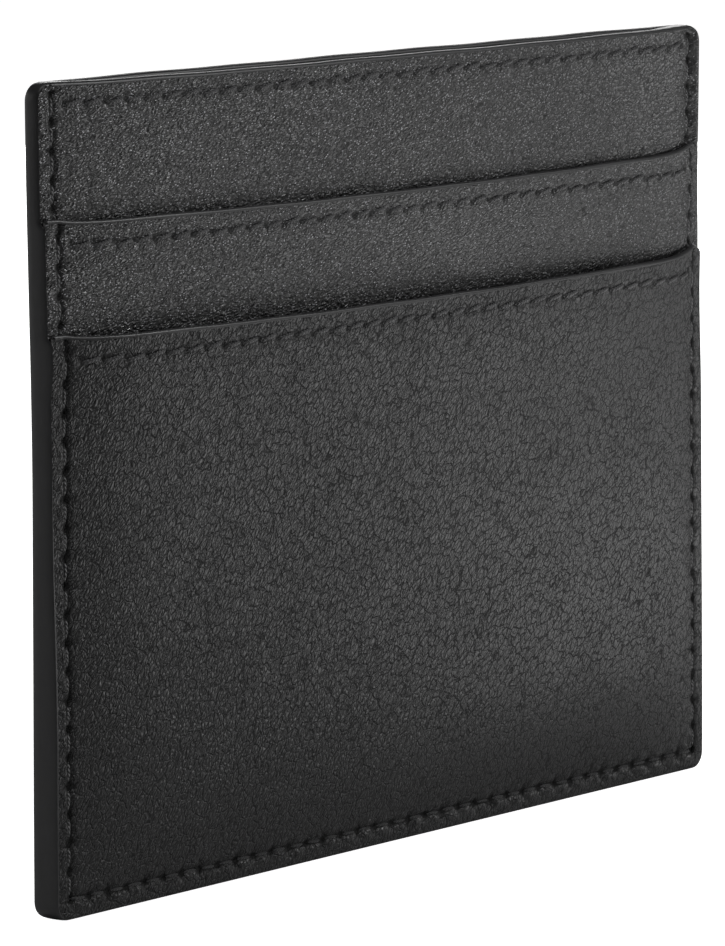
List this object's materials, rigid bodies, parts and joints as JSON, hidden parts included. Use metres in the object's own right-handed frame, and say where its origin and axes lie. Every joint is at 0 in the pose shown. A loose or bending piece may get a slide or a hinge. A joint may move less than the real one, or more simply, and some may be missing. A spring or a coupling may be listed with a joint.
{
  "type": "card holder",
  "caption": "Slim black leather card holder: a flat sleeve open at the top, with stacked card pockets on its front, stitched round the closed sides.",
  "frame": {"origin": "middle of the painted bottom edge, halfway through the thickness", "axes": "+X across the width, the pocket side faces -Y, +Z from the bottom edge up to the pocket mouths"},
  "size_m": [0.1, 0.0028, 0.075],
  "materials": {
    "leather": "pebbled black leather, satin",
    "lining": "fine black twill",
    "edge_paint": "smooth satin black edge paint",
    "thread": "waxed black polyester thread",
    "stiffener": "bonded fibre paper, matte",
    "cement": "dried contact cement"
  },
  "bodies": {
    "root": {"back_panel": "leather", "back_stiffener": "stiffener", "back_lining": "lining", "front_lining": "lining", "front_panel": "leather", "upper_pocket_tab": "lining", "upper_pocket": "leather", "lower_pocket_lining": "lining", "lower_pocket": "leather", "centre_pocket_cement": "cement", "upper_pocket_cement": "cement", "lower_pocket_cement": "cement", "seam_filler": "leather", "edge_paint_left": "edge_paint", "edge_paint_right": "edge_paint", "edge_paint_bottom": "edge_paint", "back_mouth_paint": "edge_paint", "front_mouth_paint": "edge_paint", "upper_mouth_paint": "edge_paint", "lower_mouth_paint": "edge_paint", "seam_thread_front": "thread", "seam_thread_back": "thread", "back_top_thread": "thread", "front_top_thread": "thread", "upper_pocket_thread": "thread", "lower_pocket_thread": "thread"}
  },
  "joints": []
}
